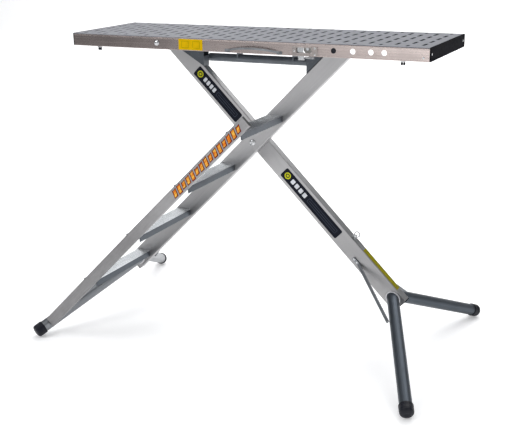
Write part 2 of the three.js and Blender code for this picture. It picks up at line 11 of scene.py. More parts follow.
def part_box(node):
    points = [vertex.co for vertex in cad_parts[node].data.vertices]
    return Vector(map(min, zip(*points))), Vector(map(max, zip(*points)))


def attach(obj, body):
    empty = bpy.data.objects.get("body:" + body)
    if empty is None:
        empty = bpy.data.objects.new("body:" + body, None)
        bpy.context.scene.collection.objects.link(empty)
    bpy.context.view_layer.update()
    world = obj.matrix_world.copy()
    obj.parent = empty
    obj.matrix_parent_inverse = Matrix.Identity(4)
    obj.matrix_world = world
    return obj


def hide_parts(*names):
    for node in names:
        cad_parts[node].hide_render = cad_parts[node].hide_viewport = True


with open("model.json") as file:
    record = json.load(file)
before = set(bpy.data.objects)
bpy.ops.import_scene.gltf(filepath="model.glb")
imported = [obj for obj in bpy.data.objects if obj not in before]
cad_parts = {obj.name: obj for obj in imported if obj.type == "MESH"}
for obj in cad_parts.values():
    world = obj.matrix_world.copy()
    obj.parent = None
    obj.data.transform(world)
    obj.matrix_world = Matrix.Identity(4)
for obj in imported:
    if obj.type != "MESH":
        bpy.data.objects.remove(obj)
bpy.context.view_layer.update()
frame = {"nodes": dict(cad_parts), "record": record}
nodes = frame["nodes"]
joints = {j["name"]: j for j in frame["record"]["behaviour"]["joints"]}

# ------------------------------------------------------------------ places
# Shapes are made in millimetres in a frame of their own, with x along the piece.
WORLD = Matrix.Identity(4)
# UPRIGHT stands a flat outline in the (x, z) plane and ACROSS in the (y, z) plane.
UPRIGHT = Matrix(((1, 0, 0, 0), (0, 0, 1, 0), (0, 1, 0, 0), (0, 0, 0, 1)))
ACROSS = Matrix(((0, 0, 1, 0), (1, 0, 0, 0), (0, 1, 0, 0), (0, 0, 0, 1)))


def corners(node, place=WORLD):
    """A CAD node's vertices in millimetres, in the given frame."""
    back = place.inverted()
    return np.array([back @ v.co for v in nodes[node].data.vertices]) * 1000


def extent(node, place=WORLD):
    points = corners(node, place)
    return Vector(points.min(0)), Vector(points.max(0))


def frame_of(origin, x, y):
    """A right-handed frame with x exact and y as near as it can be."""
    x = Vector(x).normalized()
    z = x.cross(Vector(y)).normalized()
    turn = Matrix((x, z.cross(x), z)).transposed().to_4x4()
    return Matrix.Translation(origin) @ turn


def leg_frame(node):
    """The frame of a leg at the centre bolt: x along the leg towards +X, z square to it and up."""
    points = corners(node)[:, [0, 2]]
    _, vectors = np.linalg.eigh(np.cov(points.T))
    along = vectors[:, 1] * np.sign(vectors[0, 1])
    return frame_of(joints["scissor"]["pos_m"], (along[0], 0, along[1]), (0, 1, 0))


def tube_frame(node, far):
    """The frame of a foot tube: x along it towards its cap, from the middle of its capped end."""
    mesh = nodes[node].data
    spans = []
    for face in mesh.polygons:
        loop = [mesh.vertices[i].co for i in face.vertices]
        spans.append(max((p - loop[k - 1]).length for k, p in enumerate(loop)))
    walls = np.array([f.normal for f, span in zip(mesh.polygons, spans) if span > 0.5 * max(spans)])
    _, vectors = np.linalg.eigh(walls.T @ walls)
    axis = Vector(vectors[:, 0])
    outward = (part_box(far)[0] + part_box(far)[1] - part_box(node)[0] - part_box(node)[1])
    axis = axis if axis.dot(outward) > 0 else -axis
    reach = max(v.co.dot(axis) for v in mesh.vertices)
    tip = {tuple(round(c, 5) for c in v.co) for v in mesh.vertices if v.co.dot(axis) > reach - 2e-4}
    middle = sum((Vector(p) for p in tip), Vector()) / len(tip)
    return frame_of(middle, axis, (0, 1, 0) if abs(axis.y) < 0.9 else (1, 0, 0))


def openings(node, axis, low, high):
    """Each opening through a plate that lies square to the axis between two levels, as its points."""
    mesh = nodes[node].data
    groups = []
    for face in mesh.polygons:
        level = [mesh.vertices[i].co[axis] * 1000 for i in face.vertices]
        if abs(face.normal[axis]) > 0.2 or min(level) < low - 0.05 or max(level) > high + 0.05:
            continue
        keys = {tuple(round(c * 1000, 1) for c in mesh.vertices[i].co) for i in face.vertices}
        touching = [g for g in groups if g & keys]
        groups = [g for g in groups if not g & keys]
        groups.append(keys.union(*touching))
    return [np.array(sorted(g)) for g in groups]


# ------------------------------------------------------------------ outlines
def soften(points, radius, steps=4):
    """Rounds the corners of an outline. radius is one number, or one for each point."""
    count = len(points)
    radii = radius if isinstance(radius, (list, tuple)) else [radius] * count
    out = []
    for i, point in enumerate(points):
        p = Vector(point)
        if radii[i] <= 0:
            out.append(tuple(p))
            continue
        a = Vector(points[i - 1]) - p
        b = Vector(points[(i + 1) % count]) - p
        r = min(radii[i], a.length * 0.49, b.length * 0.49)
        start, end = p + a.normalized() * r, p + b.normalized() * r
        for k in range(steps + 1):
            s = k / steps
            out.append(tuple(start * (1 - s) ** 2 + p * 2 * s * (1 - s) + end * s * s))
    return out


def rectangle(u0, v0, u1, v1, radius=0.0, steps=4):
    return soften([(u0, v0), (u1, v0), (u1, v1), (u0, v1)], radius, steps=steps)


def circle(u, v, radius, count=32):
    return [
        (u + radius * math.cos(2 * math.pi * k / count), v + radius * math.sin(2 * math.pi * k / count))
        for k in range(count)
    ]


def stadium(u, v, width, length, steps=8):
    """A slot with round ends, long in v."""
    half = length / 2 - width / 2
    loop = []
    for turn, centre in ((0, v + half), (math.pi, v - half)):
        for k in range(steps + 1):
            a = turn + math.pi * k / steps
            loop.append((u + width / 2 * math.cos(a), centre + width / 2 * math.sin(a)))
    return loop


def keep_grain(mesh):
    """Stores each point's place in the piece's own frame, which the finishes read."""
    grain = np.array([v.co for v in mesh.vertices], np.float32).ravel()
    mesh.attributes.new("grain", "FLOAT_VECTOR", "POINT").data.foreach_set("vector", grain)


class Shape:
    """A mesh under construction, in millimetres."""

    def __init__(self):
        self.bm = bmesh.new()

    def loft(self, rings, wrap=False):
        """Skins the rings in order. wrap joins the last to the first, otherwise both ends are capped."""
        rows = [[self.bm.verts.new(p) for p in ring] for ring in rings]
        following = rows[1:] + rows[:1] if wrap else rows[1:]
        for a, b in zip(rows, following):
            for i in range(len(a)):
                j = (i + 1) % len(a)
                self.bm.faces.new((a[i], a[j], b[j], b[i]))
        if not wrap:
            self.bm.faces.new(rows[0][::-1])
            self.bm.faces.new(rows[-1])
        return self

    def prism(self, outline, x0, x1, edge=0.3):
        """An outline in (y, z) run along x, with its end rims rounded."""
        before = set(self.bm.faces)
        self.loft([[(x, y, z) for y, z in outline] for x in (x0, x1)])
        if edge > 0:
            added = [f for f in self.bm.faces if f not in before]
            ends = [f for f in added if len(f.verts) > 4 or np.ptp([v.co.x for v in f.verts[:3]]) < 1e-6]
            rims = list({e for f in ends for e in f.edges})
            bmesh.ops.bevel(self.bm, geom=rims, offset=edge, segments=2, profile=0.5, affect="EDGES")
        return self

    def tube(self, outer, inner, x0, x1, edge=0.4):
        """A hollow run along x. The two outlines have the same number of points."""
        def ring(outline, x, scale):
            centre = Vector((sum(p[0] for p in outline), sum(p[1] for p in outline))) / len(outline)
            return [(x, *(centre + (Vector(p) - centre) * scale)) for p in outline]

        size = max(abs(p[0] - q[0]) for p in outer for q in outer)
        s = 1 - 2 * edge / size
        rings = [ring(outer, x0, s), ring(outer, x0 + edge, 1), ring(outer, x1 - edge, 1), ring(outer, x1, s),
                 ring(inner, x1, 1), ring(inner, x0, 1)]
        return self.loft(rings, wrap=True)

    def lathe(self, profile, count=48, turn=WORLD, hollow=False):
        """(radius, x) points turned about x. A hollow piece's profile closes on itself."""
        rings = [[turn @ Vector((x, *spot)) for spot in circle(0, 0, max(r, 1e-3), count)]
                 for r, x in profile]
        return self.loft(rings, wrap=hollow)

    def sweep(self, path, section, closed=False, up=(0, 0, 1)):
        """section(k) gives the (side, up) points of the wire at each path point."""
        path = [Vector(p) for p in path]
        count = len(path)
        rings = []
        for k, p in enumerate(path):
            ahead = path[(k + 1) % count] if closed or k < count - 1 else p
            behind = path[k - 1] if closed or k > 0 else p
            d = (ahead - behind).normalized()
            side = d.cross(Vector(up)).normalized()
            top = side.cross(d)
            rings.append([p + side * a + top * b for a, b in section(k)])
        return self.loft(rings, wrap=closed)

    def plate(self, outer, holes, low, high, edge=0.3, turn=WORLD):
        """A flat sheet in (x, y) from one level to the other, with openings and rounded rims."""
        curve = bpy.data.curves.new("outline", "CURVE")
        curve.dimensions = "2D"
        curve.fill_mode = "BOTH"
        curve.extrude = (high - low) / 2 - edge
        curve.bevel_depth = edge
        curve.bevel_resolution = 1
        curve.offset = -edge
        for loop in [outer, *holes]:
            spline = curve.splines.new("POLY")
            spline.points.add(len(loop) - 1)
            for point, (u, v) in zip(spline.points, loop):
                point.co = (u, v, 0, 1)
            spline.use_cyclic_u = True
        holder = bpy.data.objects.new("outline", curve)
        bpy.context.scene.collection.objects.link(holder)
        bpy.context.view_layer.update()
        mesh = bpy.data.meshes.new_from_object(holder.evaluated_get(bpy.context.evaluated_depsgraph_get()))
        mesh.transform(turn @ Matrix.Translation((0, 0, (low + high) / 2)))
        self.bm.from_mesh(mesh)
        bpy.data.objects.remove(holder)
        bpy.data.curves.remove(curve)
        bpy.data.meshes.remove(mesh)
        return self

    def cad(self, node, place, edge, segments=2):
        """A CAD node's own form, with its triangles merged and its sharp edges rounded."""
        fresh = bmesh.new()
        fresh.from_mesh(nodes[node].data)
        fresh.transform(Matrix.Scale(1000, 4) @ place.inverted())
        bmesh.ops.remove_doubles(fresh, verts=fresh.verts, dist=0.01)
        bmesh.ops.dissolve_limit(fresh, angle_limit=0.01, verts=fresh.verts, edges=fresh.edges)
        rims = [e for e in fresh.edges if len(e.link_faces) == 2 and e.calc_face_angle(0) > 0.45]
        bmesh.ops.bevel(fresh, geom=rims, offset=edge, segments=segments, profile=0.5, affect="EDGES",
                        clamp_overlap=True)
        mesh = bpy.data.meshes.new("part")
        fresh.to_mesh(mesh)
        fresh.free()
        self.bm.from_mesh(mesh)
        bpy.data.meshes.remove(mesh)
        return self

    def dome(self, at, radius, height, normal):
        """A rivet or screw head."""
        profile = [(radius, 0), (radius, height * 0.25), (radius * 0.86, height * 0.66),
                   (radius * 0.5, height * 0.93), (0, height)]
        n = Vector(normal).normalized()
        turn = frame_of(at, n, (0, 1, 0) if abs(n.y) < 0.9 else (1, 0, 0))
        return self.lathe(profile, 20, turn)

    def finish(self, name, place, body, look, slot, *replaced):
        """Makes the piece in metres, rides it on its body and stands it in for the replaced CAD nodes."""
        bm = self.bm
        bmesh.ops.remove_doubles(bm, verts=bm.verts, dist=1e-3)
        bmesh.ops.dissolve_degenerate(bm, dist=1e-4, edges=bm.edges)
        bmesh.ops.recalc_face_normals(bm, faces=bm.faces)
        bmesh.ops.scale(bm, vec=(0.001,) * 3, verts=bm.verts)
        mesh = bpy.data.meshes.new(name)
        bm.to_mesh(mesh)
        bm.free()
        keep_grain(mesh)
        mesh.transform(place)
        mesh.shade_smooth()
        mesh.set_sharp_from_angle(angle=math.radians(35))
        mesh.materials.append(look)
        piece = bpy.data.objects.new(name, mesh)
        bpy.context.scene.collection.objects.link(piece)
        weighted = piece.modifiers.new("Normals", "WEIGHTED_NORMAL")
        weighted.keep_sharp = True
        weighted.weight = 90
        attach(piece, body)
        if replaced:
            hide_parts(*replaced)
        return piece

    def on_platform(self, name, look, slot, *replaced):
        return self.finish(name, WORLD, "platform", look, slot, *replaced)


def rounded(node, edge, segments, name, place, body, look, slot):
    """A CAD node's own form with rounded edges, as a piece."""
    Shape().cad(node, place, edge, segments).finish(name, place, body, look, slot, node)


def rivets(name, place, body, spots, radius, height, normal):
    shape = Shape()
    for spot in spots:
        shape.dome(spot, radius, height, normal)
    shape.finish(name, place, body, STEEL, "bright_steel")


# ------------------------------------------------------------------ finishes
class Graph:
    """A short way to wire a material's nodes."""

    def __init__(self, name):
        self.material = bpy.data.materials.new(name)
        self.material.use_nodes = True
        self.tree = self.material.node_tree
        self.shader = self.tree.nodes["Principled BSDF"]

    def node(self, kind, inputs=(), **settings):
        made = self.tree.nodes.new("ShaderNode" + kind)
        for key, value in settings.items():
            setattr(made, key, value)
        for key, value in dict(inputs).items():
            self.put(made.inputs[key], value)
        return made

    def put(self, socket, value):
        if isinstance(value, bpy.types.NodeSocket):
            self.tree.links.new(value, socket)
        else:
            socket.default_value = value

    def place(self, scale):
        coordinates = self.node("Attribute", attribute_name="grain").outputs["Vector"]
        return self.node("Mapping", {"Vector": coordinates, "Scale": scale}).outputs["Vector"]

    def noise(self, scale, detail=3.0, rough=0.5, warp=0.0):
        """Noise with one scale, or one for each axis."""
        scale = scale if isinstance(scale, tuple) else (scale,) * 3
        made = self.node("TexNoise", {"Vector": self.place(scale), "Scale": 1.0, "Detail": detail,
                                      "Roughness": rough, "Distortion": warp})
        return made.outputs["Fac"]

    def span(self, value, low=0.0, high=1.0, start=0.3, end=0.7):
        made = self.node("MapRange", {"Value": value, "From Min": start, "From Max": end, "To Min": low,
                                      "To Max": high})
        return made.outputs["Result"]

    def sums(self, kind, a, b):
        return self.node("Math", {0: a, 1: b}, operation=kind).outputs["Value"]

    def mix(self, factor, a, b):
        made = self.node("Mix", {"Factor": factor}, data_type="RGBA")
        self.put(made.inputs["A"], a)
        self.put(made.inputs["B"], b)
        return made.outputs["Result"]

    def bump(self, height, strength, distance, below=None):
        inputs = {"Height": height, "Strength": strength, "Distance": distance}
        if below is not None:
            inputs["Normal"] = below
        return self.node("Bump", inputs).outputs["Normal"]

    def done(self, colour, roughness, normal, **constants):
        self.put(self.shader.inputs["Base Color"], colour)
        self.put(self.shader.inputs["Roughness"], roughness)
        self.put(self.shader.inputs["Normal"], normal)
        for key, value in constants.items():
            self.put(self.shader.inputs[key.replace("_", " ")], value)
        return self.material


def shade(colour, factor):
    return (*[min(1.0, c * factor) for c in colour], 1.0)


def metal(name, colour, rough, spread=0.08, lines=500.0, along=4.0, mottle=9.0, wear=0.5, bump=0.12,
          amount=0.10, painted_shade_run=None):
    """Drawn or rolled metal: fine lines along x, slow mottling, handling marks and a few scratches.
    The last argument is (x from, x to, darkest share): painted shade that darkens the colour along the
    piece's length, standing in for studio reflections."""
    g = Graph(name)
    fine = g.noise((along, lines, lines), 2.0, 0.6)
    broad = g.noise((along * 0.4, lines * 0.12, lines * 0.12), 3.0, 0.55)
    cloud = g.noise(mottle, 4.0, 0.6, 0.4)
    smudge = g.noise(mottle * 3.1, 5.0, 0.65, 1.2)
    scratch = g.noise((along * 6, lines * 0.7, lines * 1.3), 1.0, 0.3, 0.6)
    marks = g.span(scratch, 0.0, 1.0, 0.68, 0.72)
    pits = g.noise(1600, 1.0)
    base = g.mix(g.span(cloud), shade(colour, 1 - amount), shade(colour, 1 + amount))
    base = g.mix(g.span(broad), base, g.mix(0.5, base, shade(colour, 1 + 1.2 * amount)))
    base = g.mix(g.sums("MULTIPLY", g.span(fine), 0.35), base, shade(colour, 1 - 1.4 * amount))
    base = g.mix(g.sums("MULTIPLY", marks, 0.35 * wear), base, shade(colour, 1.45))
    # Painted shade: the colour is darkened along x, from full at the first number to the darkest share at the
    # second.
    if painted_shade_run:
        x = g.node("SeparateXYZ", {"Vector": g.place((1, 1, 1))}).outputs["X"]
        share = g.node("MapRange", {"Value": x, "From Min": painted_shade_run[0], "From Max": painted_shade_run[1], "To Min": 1.0,
                                    "To Max": painted_shade_run[2]}, interpolation_type="SMOOTHSTEP").outputs["Result"]
        base = g.node("VectorMath", {0: base, 3: share}, operation="SCALE").outputs["Vector"]
    roughness = g.sums("ADD", g.span(fine, -spread, spread), g.span(smudge, rough - spread, rough + spread))
    roughness = g.sums("ADD", roughness, g.sums("MULTIPLY", marks, 0.15 * wear))
    normal = g.bump(g.sums("ADD", fine, g.sums("MULTIPLY", broad, 0.6)), bump, 0.0004)
    normal = g.bump(pits, bump * 0.35, 0.0001, normal)
    return g.done(base, roughness, normal, Metallic=1.0)


def moulded(name, colour, rough, grain=900.0, bump=0.25, dust=0.25, dusty=(0.25, 0.25, 0.27), spec=0.5):
    """Moulded plastic or rubber: fine grain, scuffs and a little dust."""
    g = Graph(name)
    cells = g.noise(grain, 2.0, 0.6)
    cloud = g.noise(14, 4.0, 0.6, 0.5)
    scuff = g.noise((55, 160, 160), 5.0, 0.7, 1.5)
    base = g.mix(g.span(cloud), shade(colour, 0.75), shade(colour, 1.35))
    base = g.mix(g.sums("MULTIPLY", g.span(scuff, 0.0, 1.0, 0.55, 0.8), dust), base, (*dusty, 1.0))
    roughness = g.sums("ADD", g.span(cells, -0.05, 0.05), g.span(scuff, rough - 0.08, rough + 0.12))
    normal = g.bump(cells, bump, 0.0003)
    return g.done(base, roughness, normal, Metallic=0.0, Specular_IOR_Level=spec)


def painted(name, colour, rough):
    """Grey paint or primer on steel: orange peel, thin spots and rubbed places."""
    g = Graph(name)
    peel = g.noise(420, 2.0, 0.5)
    cloud = g.noise(11, 4.0, 0.6, 0.4)
    rub = g.noise((38, 90, 90), 6.0, 0.7, 1.0)
    base = g.mix(g.span(cloud), shade(colour, 0.8), shade(colour, 1.25))
    worn = g.span(rub, 0.0, 1.0, 0.62, 0.74)
    base = g.mix(g.sums("MULTIPLY", worn, 0.5), base, (0.34, 0.35, 0.37, 1.0))
    roughness = g.sums("ADD", g.span(peel, -0.04, 0.04), g.span(rub, rough - 0.08, rough + 0.1))
    normal = g.bump(peel, 0.2, 0.0003)
    return g.done(base, roughness, normal, Metallic=0.35, Coat_Weight=0.2, Coat_Roughness=0.3)


def film(name, colour, other=None):
    """A printed label with slightly uneven ink, which runs into the other colour if there is one."""
    g = Graph(name)
    cloud = g.noise(45, 3.0, 0.6, 0.3)
    speck = g.noise(1500, 2.0)
    base = g.mix(g.span(cloud), shade(colour, 0.86), shade(colour, 1.1))
    if other:
        lick = g.noise((18, 60, 60), 4.0, 0.6, 2.2)
        base = g.mix(g.span(lick, 0.0, 1.0, 0.42, 0.6), base, (*other, 1.0))
    base = g.mix(g.sums("MULTIPLY", g.span(speck), 0.12), base, shade(colour, 0.6))
    roughness = g.span(cloud, 0.26, 0.42)
    normal = g.bump(g.sums("ADD", cloud, g.sums("MULTIPLY", speck, 0.2)), 0.08, 0.0004)
    return g.done(base, roughness, normal, Metallic=0.0, Specular_IOR_Level=0.05)


DECK = metal("deck aluminium", (0.205, 0.21, 0.232), 0.44, 0.06, 420, 5, 6, 0.5, 0.12)
# The last triple on the next four finishes is a painted shade run along the length, standing in for studio
# reflections; the rail's warm brownish colour is a painted reflection.
RAIL = metal("rail aluminium with painted reflection and shade", (0.50, 0.43, 0.41), 0.26, 0.05, 330, 0.7, 4, 0.5, 0.12, 0.14,
             (0.1, -0.45, 0.52))
BEAM = metal("beam aluminium", (0.40, 0.41, 0.43), 0.42, 0.07, 420, 5, 8)
PROP_LEG = metal("prop leg aluminium with painted shade", (0.46, 0.455, 0.46), 0.38, 0.05, 380, 3.0, 5, 0.5, 0.09, 0.07,
                 (0.1, 0.5, 0.78))
LADDER_LEG = metal("ladder leg aluminium with painted shade", (0.48, 0.475, 0.48), 0.38, 0.05, 380, 3.0, 5, 0.5, 0.09, 0.07,
                   (0.1, -0.35, 0.66))
STILE = metal("stile aluminium with painted shade", (0.355, 0.35, 0.355), 0.42, 0.06, 260, 30, 12, 0.4, 0.16, 0.12,
              (-0.20, -0.42, 0.70))
# The prop's foot tubes get a darker painted-shade copy of the tube metal, standing in for dark reflections;
# the ladder's use the strut steel.
PROP_FOOT_SHADED = metal("prop foot tube painted shade", (0.085, 0.098, 0.115), 0.46, 0.05, 380, 3.0, 6, 0.5, 0.08)
# The next two are one tread aluminium: a lit copy for the upward faces and a darker painted-shade copy for
# the lips and sides.
TREAD_LIT = metal("tread aluminium lit copy", (0.62, 0.64, 0.66), 0.42, 0.06, 420, 5, 8, 0.8, 0.12)
TREAD_SHADED = metal("tread aluminium painted shade copy", (0.10, 0.112, 0.128), 0.42, 0.05, 420, 5, 8, 0.6, 0.10)
STEEL = metal("zinc plated steel", (0.60, 0.61, 0.62), 0.26, 0.05, 160, 20, 20, 0.4, 0.05, 0.07)
STRUT = metal("strut steel", (0.24, 0.25, 0.265), 0.36, 0.05, 260, 6, 10, 0.4, 0.06, 0.08)
WIRE = metal("ring wire", (0.10, 0.10, 0.11), 0.34, 0.05, 260, 10, 10, 0.4, 0.05, 0.08)
LATCH = metal("latch plate", (0.40, 0.36, 0.345), 0.3, 0.05, 300, 5, 10, 0.4, 0.06, 0.08)
WELD = metal("weld bead", (0.66, 0.66, 0.68), 0.34, 0.08, 500, 300, 60, 0.3, 0.3, 0.12)
DARK = painted("dark grey paint", (0.135, 0.152, 0.172), 0.38)
# The lugs take a darker copy of the grey paint: painted shade from the platform above them.
LUG_SHADED = painted("pivot lug paint painted shade", (0.072, 0.083, 0.098), 0.42)
PLASTIC = moulded("black plastic", (0.004, 0.004, 0.007), 0.6, 700, 0.15, 0.0, spec=0.02)
RUBBER = moulded("black rubber", (0.003, 0.004, 0.010), 0.42, 520, 0.3, 0.0, spec=0.3)
# Black fill for the deck slots, standing in for the shade seen through them.
SLOT_SHADE = moulded("slot shade pads", (0.002, 0.002, 0.003), 0.8, 520, 0.3, 0.0, spec=0.02)
STRAP = moulded("grey strap", (0.19, 0.20, 0.215), 0.24, 600, 0.2, 0.15)
NYLON = moulded("natural nylon", (0.62, 0.61, 0.57), 0.42, 500, 0.12, 0.15, (0.3, 0.29, 0.27))
BLACK_FILM = film("black label", (0.0125, 0.0145, 0.023))
YELLOW_FILM = film("yellow label", (0.70, 0.44, 0.001))
OLIVE_FILM = film("olive label", (0.30, 0.262, 0.001))
EMBER_INK = film("ember ink", (0.16, 0.012, 0.012))
AMBER_INK = film("amber ink", (0.80, 0.17, 0.012), (0.95, 0.55, 0.09))
LIME_INK = film("lime ink", (0.62, 0.62, 0.02))
PALE_INK = film("pale ink", (0.72, 0.74, 0.78))
GREY_INK = film("grey ink", (0.055, 0.065, 0.09))
LEG = {"prop": PROP_LEG, "ladder": LADDER_LEG}

# ------------------------------------------------------------------ platform
SHEET = 2.5
FLANGE = 2.2
SHAFT = 6.0
BORE = 6.3


def slot_rings(slot, rings):
    """Round-ended rings about a slot, each grown by its first number and set at its second, a height."""
    x, y, width, length = slot
    return [[(u, v, z) for u, v in stadium(x, y, width + 2 * grow, length + 2 * grow)] for grow, z in rings]


def deck():
    low, high = extent("deck_plate")
    slots = []
    for group in openings("deck_plate", 2, low.z, high.z):
        a, b = group.min(0), group.max(0)
        if b[0] - a[0] < 100:
            slots.append(((a[0] + b[0]) / 2, (a[1] + b[1]) / 2, b[0] - a[0], b[1] - a[1]))
    shape = Shape()
    holes = [stadium(*slot) for slot in slots]
    shape.plate(rectangle(low.x, low.y, high.x, high.y, 1.5), holes, low.z, high.z - 0.7, 0.35)
    for slot in slots:
        rings = [(2.2, high.z - 0.8), (1.5, high.z - 0.3), (0.9, high.z), (0.3, high.z - 0.05),
                 (-0.1, high.z - 0.5), (-0.1, low.z + 0.6), (1.0, low.z + 0.6)]
        shape.loft(slot_rings(slot, rings), wrap=True)
    shape.on_platform("deck_top", DECK, "deck_aluminium", "deck_plate")
    # Black pads inside every slot are painted shade: they stand in for the dark seen through the openings.
    pads = Shape()
    for slot in slots:
        rings = [(-0.2, low.z + 0.3), (-0.2, high.z - 0.6), (-0.7, high.z - 0.25), (-2.6, high.z - 0.2)]
        pads.loft(slot_rings(slot, rings))
    pads.on_platform("deck_slot_shade", SLOT_SHADE, "rubber")


def rail(side, node):
    low, high = extent(node)
    outer = low.y if side < 0 else high.y
    inside = outer - side * SHEET
    inner = outer - side * (high.y - low.y)
    holes = []
    round_holes = []
    for group in openings(node, 1, *sorted((outer, inside))):
        a, b = group.min(0), group.max(0)
        if b[0] - a[0] > 300:
            continue
        u, v = (a[0] + b[0]) / 2, (a[2] + b[2]) / 2
        if abs((b[0] - a[0]) - (b[2] - a[2])) < 1:
            holes.append(circle(u, v, (b[0] - a[0]) / 2))
            round_holes.append((u, v, (b[0] - a[0]) / 2))
        else:
            holes.append(rectangle(a[0], a[2], b[0], b[2], 3))
    shape = Shape()
    lip = 3.2
    shape.plate(rectangle(low.x, low.z + lip + 0.15, high.x, high.z - lip - 0.15, 0.3), holes,
                *sorted((outer, inside)), 0.25, UPRIGHT)
    slide_low, slide_high = extent("latch_slide")
    gap = (slide_low.x - 6, slide_high.x + 4)
    for bottom in (False, True):
        z0 = low.z if bottom else high.z
        s = 1 if bottom else -1
        seam = z0 + s * lip
        section = soften([(outer, seam), (outer, z0), (inner, z0), (inner, z0 + s * FLANGE),
                          (inside, z0 + s * FLANGE), (inside, seam)], [0.3, 1.4, 0.8, 0.8, 0.6, 0.3])
        stub = soften([(outer, seam), (outer, z0), (inside, z0), (inside, seam)], [0.3, 1.4, 0.3, 0.3])
        if bottom:
            shape.prism(section, low.x, gap[0], 0.2)
            shape.prism(stub, gap[0] + 0.1, gap[1] - 0.1, 0.2)
            shape.prism(section, gap[1], high.x, 0.2)
        else:
            shape.prism(section, low.x, high.x, 0.2)
    shape.on_platform(node.replace("rail", "side_rail"), RAIL, "rail_aluminium", node)
    if side > 0:
        return
    # Only the near rail shows a rivet at its end and a dark plug in its first setting hole, which stands in
    # for the shade inside the hole.
    rivets("rail_rivet", WORLD, "platform", [(high.x - 16.7, outer, low.z + 10.8)], 3.2, 0.8, (0, -1, 0))
    x, z, r = min(hole for hole in round_holes if hole[0] > 300)
    profile = [(0, 1.1), (r * 0.3, 1.1), (r * 0.45, 0.4), (r * 0.8, 0.1), (r - 0.3, 0.5),
               (r - 0.3, SHEET - 0.1), (0, SHEET - 0.1)]
    Shape().lathe(profile, 32, along_y(x, z, outer)).on_platform(
        "setting_hole_shade_plug", RUBBER, "black_plastic")


def end_cap(side, node):
    low, high = extent(node)
    face = low.x if side < 0 else high.x
    wall = extent("rail_near")
    inside = wall[0].x - 0.3 if side < 0 else wall[1].x + 0.3
    shape = Shape()
    sunk = face - side * 1.0
    outer = rectangle(low.y, low.z, high.y, high.z, 3.5)
    shape.plate(outer, [], *sorted((inside, sunk)), 0.4, ACROSS)
    rim = rectangle(low.y + 5, low.z + 5, high.y - 5, high.z - 5, 3.0)
    back = sunk - side * 0.4
    shape.plate(outer, [rim], *sorted((back, face)), 0.5, ACROSS)
    rail_low, rail_high = extent("rail_near")
    for wall_side in (-1, 1):
        outer_y = wall_side * (rail_high.y - rail_low.y)
        edge = rail_low.y if wall_side < 0 else -rail_low.y
        a, b = edge - wall_side * (SHEET + 0.3), edge - outer_y
        box = rectangle(min(a, b), rail_low.z + FLANGE + 0.4, max(a, b), rail_high.z - FLANGE - 0.4, 2)
        end = low.x if side > 0 else high.x
        shape.prism(box, *sorted((inside, end)), 0.8)
    shape.on_platform(node + "_moulding", PLASTIC, "black_plastic", node)
    spots = [(face - side * 1.05, y, (low.z + high.z) / 2) for y in (low.y + 16, high.y - 16)]
    rivets(node + "_screws", WORLD, "platform", spots, 3.6, 0.9, (side, 0, 0))


def members():
    for i in range(1, 5):
        for node, name, edge in ((f"cross_beam_{i}", f"beam_{i}", 0.7), (f"deck_rib_{i}", f"rib_{i}", 0.8)):
            rounded(node, edge, 2, name, WORLD, "platform", BEAM, "beam_aluminium")


def along_y(x, z, y):
    """A turning frame in millimetres whose x runs along +Y."""
    return frame_of((x, y, z), (0, 1, 0), (1, 0, 0))


def bush(radius, length, edge):
    """The profile of a bush round a shaft, with its outer rims chamfered."""
    return [(radius - edge, 0), (radius, edge), (radius, length - edge), (radius - edge, length),
            (BORE, length), (BORE, 0)]


def hexagon(radius, length, turn):
    """The rings of a chamfered nut, wrapped round its bore."""
    def ring(x, corner):
        out = []
        for k in range(24):
            a = 2 * math.pi * k / 24
            edge = radius * math.cos(math.pi / 6) / math.cos((a % (math.pi / 3)) - math.pi / 6)
            out.append(turn @ Vector((x, min(edge, corner) * math.cos(a), min(edge, corner) * math.sin(a))))
        return out

    holes = [[turn @ Vector((x, *spot)) for spot in circle(0, 0, BORE, 24)] for x in (length, 0)]
    corner = radius * 0.9
    return [ring(0, corner), ring(1.2, radius), ring(length - 1.2, radius), ring(length, corner), *holes]


def shafts():
    low, high = extent("pivot_shaft")
    x, z = (low.x + high.x) / 2, (low.z + high.z) / 2
    radius = (high.z - low.z) / 2
    wall = extent("rail_near")[0].y
    head, length = wall - low.y, high.y - low.y
    turn = along_y(x, z, low.y)
    profile = [(0, 0), (radius * 0.35, 0.15), (radius * 0.66, 1.1), (radius * 0.86, 2.5),
               (radius * 0.97, 4.0), (radius, 4.8), (radius * 0.97, head - 0.3), (SHAFT, head - 0.3),
               (SHAFT, length - 1.2), (5.2, length), (0, length)]
    Shape().lathe(profile, 48, turn).on_platform(
        "pivot_bolt", STEEL, "bright_steel", "pivot_shaft")
    low, high = extent("pivot_nut")
    nut = hexagon((high.x - low.x) / 2, high.y - low.y, along_y(x, z, low.y))
    Shape().loft(nut, wrap=True).on_platform(
        "pivot_hex_nut", STEEL, "bright_steel", "pivot_nut")
    for side in ("near", "far"):
        low, high = extent(f"pivot_spacer_{side}")
        r, length = (high.z - low.z) / 2, high.y - low.y
        Shape().lathe(bush(r, length, 0.6), 40, along_y(x, z, low.y), hollow=True).on_platform(
            f"spacer_{side}", DARK, "dark_steel", f"pivot_spacer_{side}")


